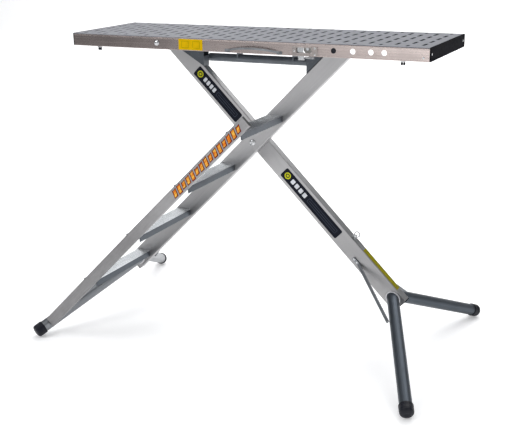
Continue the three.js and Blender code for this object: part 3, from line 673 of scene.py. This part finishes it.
def latch():
    low, high = extent("latch_plate_near")
    window = None
    for group in openings("latch_plate_near", 1, low.y, high.y):
        a, b = group.min(0), group.max(0)
        if b[0] - a[0] < high.x - low.x - 1:
            window = (a[0], a[2], b[0], b[2])
    shape = Shape()
    sheet = rectangle(low.x, low.z, high.x, high.z, 4)
    shape.plate(sheet, [rectangle(*window, 3)], low.y + 0.5, high.y, 0.3, UPRIGHT)
    rim = rectangle(window[0] - 2.5, window[1] - 2.5, window[2] + 2.5, window[3] + 2.5, 4)
    shape.plate(rim, [rectangle(*window, 3)], low.y, high.y - 0.6, 0.4, UPRIGHT)
    shape.on_platform("latch_frame", LATCH, "bright_steel", "latch_plate_near")
    z = (low.z + high.z) / 2
    spots = [(low.x + 6, z), (high.x - 9, low.z + 5), (high.x - 9, high.z - 5)]
    rivets("latch_rivets", WORLD, "platform", [(x, low.y + 0.5, z) for x, z in spots], 2.6, 0.5, (0, -1, 0))
    rounded("latch_slide", 0.5, 3, "latch_tongue", WORLD, "latch", STEEL, "bright_steel")
    low, high = extent("latch_spring")
    y, z, r = (low.y + high.y) / 2, (low.z + high.z) / 2, (high.z - low.z) / 2
    wire, turns, steps = 0.55, 9, 14
    path = []
    for k in range(turns * steps + 1):
        a = 2 * math.pi * k / steps
        path.append((low.x + wire + (high.x - low.x - 2 * wire) * k / (turns * steps),
                     y + (r - wire) * math.cos(a), z + (r - wire) * math.sin(a)))
    section = circle(0, 0, wire, 8)
    Shape().sweep(path, lambda k: section, up=(1, 0, 0)).on_platform(
        "latch_coil", STEEL, "bright_steel", "latch_spring")


def under_tube():
    low, high = extent("underdeck_tube")
    y, z, r = (low.y + high.y) / 2, (low.z + high.z) / 2, (high.z - low.z) / 2
    turn = Matrix.Translation((low.x, y, z))
    length = high.x - low.x
    Shape().lathe(
        [(0.01, 0), (r - 2, 0), (r - 0.5, 0.7), (r, 2.2), (r, length - 0.8), (r - 0.5, length),
         (r - 1.8, length), (r - 1.8, 5), (0.01, 5)], 56, turn, hollow=True).on_platform(
        "under_tube", DARK, "dark_steel", "underdeck_tube")
    for i in (1, 2):
        low, high = extent(f"tube_hanger_{i}")
        reach = r + 0.25
        saddle = [(y + reach * math.cos(a), z + reach * math.sin(a)) for a in np.linspace(0, math.pi, 25)]
        outline = [(high.y, z), (high.y, high.z), (low.y, high.z), (low.y, z), *reversed(saddle)]
        Shape().plate(outline, [], low.x, high.x, 0.3, ACROSS).on_platform(
            f"hanger_{i}", DARK, "dark_steel", f"tube_hanger_{i}")


def handle():
    low, high = extent("handle_strap")
    points = corners("handle_strap")
    thick = np.ptp(points[points[:, 0] > high.x - 0.1][:, 1])
    bow = high.y - low.y - thick
    width = 6.5
    path = []
    for k in range(49):
        s = k / 48
        across = 2 * s - 1
        path.append((low.x + (high.x - low.x) * s, high.y - thick / 2 - bow * math.sin(math.pi * s),
                     low.z + width / 2 + (high.z - low.z - width) * (1 - across * across)))

    def section(k):
        slim = 1 - 0.1 * math.sin(math.pi * k / 48)
        h, t = width / 2 * slim, thick / 2
        return soften([(-t, -h), (t, -h), (t, h), (-t, h)], 1.4, steps=3)

    Shape().sweep(path, section).on_platform("carry_strap", STRAP, "grey_strap", "handle_strap")
    for word, x, towards in (("left", low.x, 1), ("right", high.x, -1)):
        node = f"handle_clip_{word}"
        a, b = extent(node)
        z = low.z + width / 2
        shape = Shape()
        tab = rectangle(a.x, z - 5, b.x, z + 5, 2.5)
        shape.plate(tab, [], b.y - 1.2, b.y, 0.3, UPRIGHT)
        start, end, front = x + towards, x + towards * 8, high.y - thick - 2.0
        shape.plate(rectangle(start, z - 4.4, end, z + 4.4, 1.5), [], front, front + 1.6, 0.3, UPRIGHT)
        for edge in (-4.4, 3.4):
            side = rectangle(start, z + edge, end, z + edge + 1, 0.3)
            shape.plate(side, [], front, b.y, 0.2, UPRIGHT)
        shape.dome((x - towards * 3.2, b.y - 1.2, z), 2.2, 1.2, (0, -1, 0))
        shape.on_platform(f"strap_clip_{word}", STRUT, "bright_steel", node)


def buffers():
    for side in ("near", "far"):
        for i in (1, 2):
            node = f"buffer_{side}_{i}"
            low, high = extent(node)
            x, y, r, drop = (low.x + high.x) / 2, (low.y + high.y) / 2, (high.x - low.x) / 2, high.z - low.z
            flat = rectangle(low.x, low.y + 1, high.x, high.y - 1, 2)
            Shape().plate(flat, [], high.z - 3.0, high.z, 0.5).on_platform(
                f"stud_{side}_{i}", STEEL, "bright_steel")
            pad = Shape()
            small = r * 0.47
            for offset in (-r + small, r - small):
                turn = frame_of((x + offset, y, high.z), (0, 0, -1), (0, 1, 0))
                pad.lathe([(0, 1.2), (small * 0.7, 1.2), (small * 0.7, 4.4), (small, 5.4),
                           (small, drop - 2.2), (small * 0.8, drop - 0.6), (small * 0.4, drop),
                           (0, drop)], 28, turn)
            pad.on_platform(node + "_pads", RUBBER, "rubber", node)


# ------------------------------------------------------------------ legs
PROP = leg_frame("prop_spine")
LADDER = leg_frame("ladder_spine")


def spine(name, place, body):
    node = f"{name}_spine"
    low, high = extent(node, place)
    shape = Shape()
    outer = rectangle(low.y, low.z, high.y, high.z, 3.2, 5)
    inner = rectangle(low.y + SHEET, low.z + SHEET, high.y - SHEET, high.z - SHEET, 1.2, 5)
    shape.tube(outer, inner, low.x, high.x, 0.5)
    shape.finish(f"{name}_upright", place, body, LEG[name], "leg_aluminium", node)
    rounded(f"{name}_bottom_plug", 0.6, 2, f"{name}_plug", place, body, PLASTIC, "black_plastic")
    rounded(f"{name}_lug", 0.35, 2, f"{name}_bracket", place, body, LUG_SHADED, "dark_steel")


def foot(name, word, body):
    node, cap = f"{name}_foot_tube_{word}", f"{name}_foot_cap_{word}"
    here = tube_frame(node, cap)
    low, high = extent(node, here)
    radius = max(np.hypot(corners(node, here)[:, 1], corners(node, here)[:, 2]))
    side = -1 if word == "near" else 1
    spine_low, spine_high = extent(f"{name}_spine")
    wall = spine_low.y if side < 0 else spine_high.y
    count = 64
    axis = here.to_3x3().col[0]
    origin = here.translation * 1000

    def ring(r, x=None):
        out = []
        for k in range(count):
            a = 2 * math.pi * k / count
            p = Vector((0, r * math.cos(a), r * math.sin(a)))
            if x is None:
                world = here.to_3x3() @ p + origin
                p.x = (wall + side * 0.1 - world.y) / axis.y
            else:
                p.x = x
            out.append(p)
        return out

    shape = Shape().loft(
        [ring(radius), ring(radius, -radius * 3.6), ring(radius, high.x - 0.5), ring(radius - 0.5, high.x),
         ring(radius - 1.8, high.x), ring(radius - 1.8)], wrap=True)
    # The prop's foot tubes take the darker painted-shade copy.
    shape.finish(f"{name}_tube_{word}", here, body, PROP_FOOT_SHADED if name == "prop" else STRUT, "leg_aluminium", node)

    bead = [p + Vector((0.9, 0, 0)) for p in ring(radius + 0.6)]
    dense = [bead[i].lerp(bead[(i + 1) % count], j / 3) for i in range(count) for j in range(3)]
    Shape().sweep(dense, lambda k: circle(0, 0, 2.9 + 0.3 * math.cos(k * math.pi / 3), 10), closed=True,
                  up=(1, 0, 0)).finish(f"{name}_weld_{word}", here, body, WELD, "leg_aluminium")

    low, high = extent(cap, here)
    points = corners(cap, here)
    outer = max(np.hypot(points[:, 1], points[:, 2])) - 1.2
    bore = radius + 0.3
    x0, length = low.x, high.x - low.x - 0.3
    profile = [(bore, x0 + 1), (bore + 0.6, x0 + 0.1), (outer - 1.2, x0 + 0.1), (outer - 0.3, x0 + 0.9),
               (outer, x0 + 2.2), (outer, x0 + 5.5), (outer - 0.9, x0 + 6.4), (outer - 0.9, x0 + 8.0)]
    for ridge in (8.0, 12.5, 17.0):
        start = x0 + ridge
        profile += [(outer - 0.2, start + 0.8), (outer - 0.2, start + 3.2), (outer - 0.9, start + 4.0)]
    end = x0 + length
    profile += [(outer - 0.5, end - 9), (outer - 1.4, end - 5.6), (outer - 3.4, end - 3.2),
                (outer - 6.2, end - 1.4), (outer - 10, end - 0.3), (outer - 14, end),
                (outer - 15, end - 0.6), (0.01, end - 0.6),
                (0.01, end - 3.4), (bore, end - 3.6)]
    shape = Shape().lathe(profile, 72, hollow=True)
    # The cap's lowest edge is cut off flat at the floor.
    for v in shape.bm.verts:
        world = here @ (v.co / 1000)
        if world.z < 0:
            world.z = 0
            v.co = here.inverted() @ world * 1000
    shape.finish(f"{name}_cap_{word}", here, body, RUBBER, "rubber", cap)


def braces(name, words, place, body):
    for word in words:
        node = f"{name}_brace_{word}"
        rounded(node, 0.9, 3, f"{name}_strut_{word}", place, body, STRUT, "bright_steel")
        low, high = extent(node, place)
        spine_low, spine_high = extent(f"{name}_spine", place)
        side = -1 if word == "near" else 1
        wall = (spine_low.y if side < 0 else spine_high.y) + side * 0.2
        towards = 1 if name == "prop" else -1
        start = low.x if towards > 0 else high.x
        z = (low.z + high.z) / 2
        spots = [(start + towards * step, wall + side * 4.0, z) for step in (6, 19)]
        rivets(f"{name}_strut_rivets_{word}", place, body, spots, 3.4, 1.5, (0, side, 0))


def centre():
    low, high = extent("centre_bolt", PROP)
    r = max(np.hypot(corners("centre_bolt", PROP)[:, 0], corners("centre_bolt", PROP)[:, 2]))
    length = high.y - low.y
    profile = [(0, 0.5), (r * 0.3, 0.5), (r * 0.34, 0.1), (r * 0.6, 0.5), (r * 0.8, 1.6), (r * 0.94, 3.2),
               (r, 4.2), (r * 0.98, 4.9), (SHAFT, 4.9), (SHAFT, length - 1), (5.2, length), (0, length)]
    Shape().lathe(profile, 48, along_y(0, 0, low.y)).finish(
        "centre_pin", PROP, "prop_leg", STEEL, "bright_steel", "centre_bolt")
    low, high = extent("centre_washer", PROP)
    washer = bush((high.z - low.z) / 2, high.y - low.y, 0.5)
    Shape().lathe(washer, 40, along_y(0, 0, low.y), hollow=True).finish(
        "centre_slip_washer", PROP, "prop_leg", NYLON, "nylon", "centre_washer")
    low, high = extent("centre_nut", PROP)
    nut = hexagon((high.z - low.z) / 2, high.y - low.y, along_y(0, 0, low.y))
    Shape().loft(nut, wrap=True).finish(
        "centre_hex_nut", PROP, "prop_leg", STEEL, "bright_steel", "centre_nut")


def pull_ring():
    rounded("ring_bracket", 0.5, 2, "ring_staple", PROP, "prop_leg", STEEL, "bright_steel")
    low, high = extent("ring_bracket", PROP)
    spots = [(x, (low.y + high.y) / 2, low.z + 2) for x in (low.x + 3, high.x - 3)]
    rivets("ring_rivets", PROP, "prop_leg", spots, 1.8, 0.8, (0, 0, 1))
    low, high = extent("pull_ring", PROP)
    centre_point = (low + high) / 2
    wire = (high.y - low.y) / 2
    r = (high.z - low.z) / 2 - wire
    path = [(x, centre_point.y, z) for x, z in circle(centre_point.x, centre_point.z, r, 64)]
    section = circle(0, 0, wire, 12)
    Shape().sweep(path, lambda k: section, closed=True, up=(0, 1, 0)).finish(
        "wire_ring", PROP, "ring", WIRE, "bright_steel", "pull_ring")


def stile_levels():
    """Along the stile, each place where its near face bends: (x, y)."""
    points = corners("ladder_stile", LADDER)
    stations = []
    for x in sorted({round(v, 0) for v in points[:, 0]}):
        near = points[np.abs(points[:, 0] - x) < 1.5]
        y = near[:, 1].min()
        if not stations or x - stations[-1][0] > 6:
            stations.append((near[:, 0].min() if not stations else near[:, 0].mean(), y))
    return stations, points[:, 2].min(), points[:, 2].max()


def stile():
    points, z0, z1 = stile_levels()
    ends = (points[0], points[-1])
    middle = min(points[1:-1], key=lambda p: p[1]
                 - (ends[0][1] + (ends[1][1] - ends[0][1]) * (p[0] - ends[0][0]) / (ends[1][0] - ends[0][0])))
    levels = [ends[0], middle, ends[1]]
    low, high = extent("ladder_stile", LADDER)
    levels[0] = (low.x, levels[0][1])
    levels[-1] = (high.x, levels[-1][1])

    def near(x):
        for (xa, ya), (xb, yb) in zip(levels, levels[1:]):
            if x <= xb:
                return ya + (yb - ya) * (x - xa) / (xb - xa)
        return levels[-1][1]

    depth = 12.0

    def section(x):
        y = near(x)
        t = SHEET
        loop = [(y, z0), (y + depth, z0), (y + depth, z0 + t), (y + t, z0 + t), (y + t, z1 - t),
                (y + depth, z1 - t), (y + depth, z1), (y, z1)]
        return [(x, a, b) for a, b in soften(loop, [3.2, 0.8, 0.8, 1.0, 1.0, 0.8, 0.8, 3.2], steps=5)]

    bend = levels[1][0]
    stations = [low.x, low.x + 0.6, bend - 5, bend - 1.5, bend + 1.5, bend + 5, high.x - 0.6, high.x]
    rings = [section(x) for x in stations]
    for index in (0, -1):
        centre_y = near(stations[index]) + depth / 2
        rings[index] = [(x, centre_y + (a - centre_y) * 0.96, b) for x, a, b in rings[index]]
    shape = Shape().loft(rings)
    for x, s in ((low.x, 1), (high.x, -1)):
        y = near(x)
        end = rectangle(y + 0.3, z0 + 0.3, y + depth - 0.3, z1 - 0.3, 2.0)
        shape.prism(end, *sorted((x, x + s * SHEET)), 0.5)
    shape.finish("side_stile", LADDER, "ladder_leg", STILE, "leg_aluminium", "ladder_stile")
    return near, z0, z1


def treads():
    for i in range(1, 5):
        node = f"tread_{i}"
        low, high = extent(node)
        corner = Vector((low.x, (low.y + high.y) / 2, high.z)) / 1000
        half = (high.y - low.y) / 2
        width, lip, back, t = high.x - low.x, high.z - low.z, 9.0, 2.4
        here = frame_of(corner, (0, 1, 0), (-1, 0, 0))
        outline = [(0, -0.8), (0, -back), (-t, -back), (-t, -t), (-width + t, -t), (-width + t, -lip),
                   (-width, -lip), (-width, -0.8)]
        shape = Shape().prism(soften(outline, [2.2, 0.6, 0.6, 0.6, 0.6, 0.6, 0.6, 2.4]), -half, half, 0.3)
        count = 9
        for k in range(count):
            y = -4 - (width - 8) * k / (count - 1)
            rib = soften([(y + 1.1, -0.9), (y + 0.7, -0.02), (y - 0.7, -0.02), (y - 1.1, -0.9)], 0.3, steps=2)
            shape.prism(rib, -half + 1, half - 1, 0.2)
        tread = shape.finish(f"rung_{i}", here, "ladder_leg", TREAD_LIT, "tread_aluminium", node)
        # Upward faces take the lit copy, the lip and sides the painted-shade copy.
        tread.data.materials.append(TREAD_SHADED)
        upward = here.to_3x3().col[2]
        for face in tread.data.polygons:
            face.material_index = 0 if face.normal.dot(upward) > 0.5 else 1
        beads = Shape()
        for end in (-half, half):
            s = 1 if end < 0 else -1
            path = [(end + s * 0.6, -width + 1 + (width - 6) * k / 60, -t - 0.4) for k in range(61)]
            beads.sweep(path, lambda k: circle(0, 0, 1.5 + 0.3 * math.cos(k * 1.3), 8), up=(0, 0, 1))
        beads.finish(f"rung_welds_{i}", here, "ladder_leg", WELD, "tread_aluminium")


def cross_pin():
    low, high = extent("cross_pin")
    x, z = (low.x + high.x) / 2, (low.z + high.z) / 2
    r, length = (high.z - low.z) / 2, high.y - low.y
    Shape().lathe([(0, 0), (r - 1, 0), (r, 1), (r, length - 1), (r - 1, length), (0, length)], 40,
                  along_y(x, z, low.y)).finish(
        "slide_pin", WORLD, "ladder_leg", STEEL, "bright_steel", "cross_pin")
    for word in ("near", "far"):
        node = f"pin_bush_{word}"
        a, b = extent(node)
        rr, t = (b.z - a.z) / 2, b.y - a.y
        Shape().lathe(bush(rr, t, 0.8), 48, along_y(x, z, a.y), hollow=True).finish(
            f"slide_bush_{word}", WORLD, "ladder_leg", NYLON, "nylon", node)


# ------------------------------------------------------------------ labels
FILM_GAP = 0.03
RAIL_LABEL = (-175.0, -90.0)
LEG_LABELS = ((-312.0, -93.0), (135.0, 411.0))
TOP_LABEL = (499, 665)
STILE_FLAMES = (-155.0, 160.0)


def label(name, outline, face, thick, place, body, look):
    """A thin film on a face that looks towards -Y."""
    Shape().plate(outline, [], face - FILM_GAP - thick, face - FILM_GAP, 0.04, UPRIGHT).finish(
        name, place, body, look, "black_plastic")


def frame_shape(u0, v0, u1, v1, line, radius, inner):
    """The outer and inner outline of a printed frame."""
    return rectangle(u0, v0, u1, v1, radius), [rectangle(u0 + line, v0 + line, u1 - line, v1 - line, inner)]


def ink(shapes, face, name, look):
    """Printed shapes, each an outline with its holes, on the prop leg's labels."""
    film = Shape()
    for outline, holes in shapes:
        film.plate(outline, holes, face - 0.24, face - 0.17, 0.02, UPRIGHT)
    film.finish(name, PROP, "prop_leg", look, "black_plastic")


def rail_label():
    low, high = extent("rail_near")
    left, right = RAIL_LABEL
    width = right - left
    label("rail_label", rectangle(left, low.z + 2, right, high.z - 2, 1.5), low.y, 0.12, WORLD, "platform",
          YELLOW_FILM)
    for k, (a, b) in enumerate(((0.12, 0.42), (0.58, 0.88))):
        outer, inner = frame_shape(left + width * a, low.z + 8, left + width * b, high.z - 8, 1, 2, 1.5)
        Shape().plate(outer, inner, low.y - 0.2, low.y - 0.14, 0.02, UPRIGHT).on_platform(
            f"rail_label_frame_{k + 1}", OLIVE_FILM, "black_plastic")


def leg_labels():
    low, high = extent("prop_spine", PROP)
    face, middle, half = low.y, (low.z + high.z) / 2, 19.0
    for index, (x0, x1) in enumerate(LEG_LABELS, 1):
        span, mark = x1 - x0, x0 + 20
        label(f"leg_label_{index}", rectangle(x0, middle - half, x1, middle + half, 6), face, 0.14, PROP,
              "prop_leg", BLACK_FILM)
        ring_mark = (circle(mark, middle, 11.5, 40), [circle(mark, middle, 7.5, 40)])
        ink([ring_mark, (circle(mark, middle, 4.2, 30), [])], face, f"leg_mark_{index}", LIME_INK)
        starts = [x0 + 40 + k * span * 0.07 for k in range(4)]
        ink([(rectangle(u, middle - 8, u + span * 0.05, middle + 8, 2.5), []) for u in starts],
            face, f"leg_blocks_{index}", PALE_INK)
        u = x0 + 40 + 4 * span * 0.07 + span * 0.02
        ink([frame_shape(u, middle - 8, x1 - 14, middle + 8, 1.4, 3, 2.2),
             (rectangle(u + 6, middle - 1, x1 - 20, middle + 1, 0.8), [])],
            face, f"leg_outline_{index}", GREY_INK)


def top_label():
    low, high = extent("prop_spine", PROP)
    top = high.z + FILM_GAP
    start, end = TOP_LABEL
    Shape().plate(rectangle(start, low.y + 3, end, high.y - 3, 2), [], top, top + 0.12, 0.04).finish(
        "top_label", PROP, "prop_leg", OLIVE_FILM, "black_plastic")
    outer, inner = frame_shape(start + 8, low.y + 6, end - 8, high.y - 6, 1, 1.5, 1)
    Shape().plate(outer, inner, high.z + 0.17, high.z + 0.22, 0.02).finish(
        "top_label_frame", PROP, "prop_leg", GREY_INK, "black_plastic")


def stile_flames(near, z0, z1):
    """A row of slanted tongues on the upper part of the stile."""
    start, end = STILE_FLAMES
    tilt = math.atan2(near(end) - near(start), end - start)
    turn = LADDER.to_3x3()
    here = frame_of(LADDER @ (Vector((start, near(start), (z0 + z1) / 2)) / 1000),
                    turn @ Vector((math.cos(tilt), math.sin(tilt), 0)), turn @ Vector((0, 1, 0)))
    length = (end - start) / math.cos(tilt)
    edge, tongues = Shape(), Shape()
    count, margin, lean = 15, 8, 4.5
    step = (length - 2 * margin) / (count - 1)
    for k in range(count):
        u = margin + step * k
        tall = 9.5 + 2.0 * math.sin(k * 2.1)
        for shape, grow, level in ((edge, 3.0, -0.17), (tongues, 0.0, -0.25)):
            w, t = step * 0.25 + grow, tall + grow
            outline = [(u - lean - w, -t), (u - lean + w, -t), (u + lean + w, t),
                       (u + lean - w * 0.4, t * 0.8), (u + lean - w, t)]
            shape.plate(soften(outline, 1.4, steps=3), [], level, level + 0.08, 0.02, UPRIGHT)
    edge.finish("stile_flames_edge", here, "ladder_leg", EMBER_INK, "black_plastic")
    tongues.finish("stile_flames", here, "ladder_leg", AMBER_INK, "black_plastic")


deck()
rail(-1, "rail_near")
rail(1, "rail_far")
end_cap(-1, "end_cap_left")
end_cap(1, "end_cap_right")
members()
shafts()
latch()
under_tube()
handle()
buffers()
for leg_name, leg_place in (("prop", PROP), ("ladder", LADDER)):
    leg_body = f"{leg_name}_leg"
    spine(leg_name, leg_place, leg_body)
    for leg_side in ("near", "far"):
        foot(leg_name, leg_side, leg_body)
braces("prop", ("near", "far"), PROP, "prop_leg")
braces("ladder", ("far",), LADDER, "ladder_leg")
centre()
pull_ring()
stile_face = stile()
treads()
cross_pin()
rail_label()
leg_labels()
top_label()
stile_flames(*stile_face)

# ------------------------------------------------------------------ stage, light and camera
def stage_floor():
    g = Graph("floor paper")
    cloud = g.noise(1.2, 4.0, 0.5, 0.3)
    grain = g.noise(300, 2.0)
    base = g.mix(g.span(cloud), (0.93, 0.93, 0.935, 1.0), (0.955, 0.955, 0.955, 1.0))
    look = g.done(base, g.span(grain, 0.85, 0.95), g.bump(grain, 0.03, 0.0005), Specular_IOR_Level=0.1,
                  Emission_Color=(1, 1, 1, 1), Emission_Strength=0.3)
    bm = bmesh.new()
    rows = []
    profile = [(-9.0, 0.0), (7.0, 0.0)]
    for k in range(1, 9):
        a = math.pi / 2 * k / 8
        profile.append((7.0 + 0.9 * math.sin(a), 0.9 - 0.9 * math.cos(a)))
    profile.append((7.9, 1.4))
    for y, z in profile:
        rows.append([bm.verts.new((x, y, z)) for x in np.linspace(-40, 40, 9)])
    for a, b in zip(rows, rows[1:]):
        for i in range(len(a) - 1):
            bm.faces.new((a[i], a[i + 1], b[i + 1], b[i]))
    mesh = bpy.data.meshes.new("floor")
    bm.to_mesh(mesh)
    bm.free()
    mesh.shade_smooth()
    keep_grain(mesh)
    mesh.materials.append(look)
    floor = bpy.data.objects.new("floor", mesh)
    bpy.context.scene.collection.objects.link(floor)
    floor.location.z = -0.0005


def soft_light(name, at, target, size, power, colour=(1, 1, 1)):
    data = bpy.data.lights.new(name, "AREA")
    data.shape = "RECTANGLE"
    data.size, data.size_y = size
    data.energy = power
    data.color = colour
    lamp = bpy.data.objects.new(name, data)
    bpy.context.scene.collection.objects.link(lamp)
    lamp.location = at
    lamp.rotation_euler = (Vector(target) - Vector(at)).to_track_quat("-Z", "Y").to_euler()


def camera():
    data = bpy.data.cameras.new("camera")
    data.lens = 64.29
    data.sensor_width = 36
    cam = bpy.data.objects.new("camera", data)
    bpy.context.scene.collection.objects.link(cam)
    forward = Vector((-0.4314, 0.8511, -0.2994)).normalized()
    right = Vector((0.8942, 0.4474, -0.0164)).normalized()
    up = right.cross(forward).normalized()
    turn = Matrix((right, up, -forward)).transposed().to_4x4()
    cam.matrix_world = Matrix.Translation((1.31425, -2.61889, 1.32695)) @ turn
    data.clip_start, data.clip_end = 0.05, 60
    bpy.context.scene.camera = cam


stage_floor()
soft_light("key", (-2.2, -3.0, 3.4), (0, 0, 0.5), (2.4, 1.8), 70)
soft_light("fill", (3.4, -2.2, 1.6), (0.1, 0, 0.6), (1.4, 2.2), 16)
soft_light("top", (0.2, 0.6, 4.6), (0, 0.3, 0), (5.0, 4.0), 90)
soft_light("front card", (-0.2, -5.0, 0.8), (0.2, 0, 0.7), (2.4, 1.5), 14)
soft_light("floor wash", (-1.5, 5.0, 5.0), (-1.5, 5.2, 0), (9.0, 5.0), 420)
world = bpy.data.worlds.new("studio")
world.use_nodes = True
world.node_tree.nodes["Background"].inputs["Color"].default_value = (0.80, 0.82, 0.86, 1)
world.node_tree.nodes["Background"].inputs["Strength"].default_value = 0.26
bpy.context.scene.world = world
bpy.context.scene.view_settings.view_transform = "Standard"
camera()
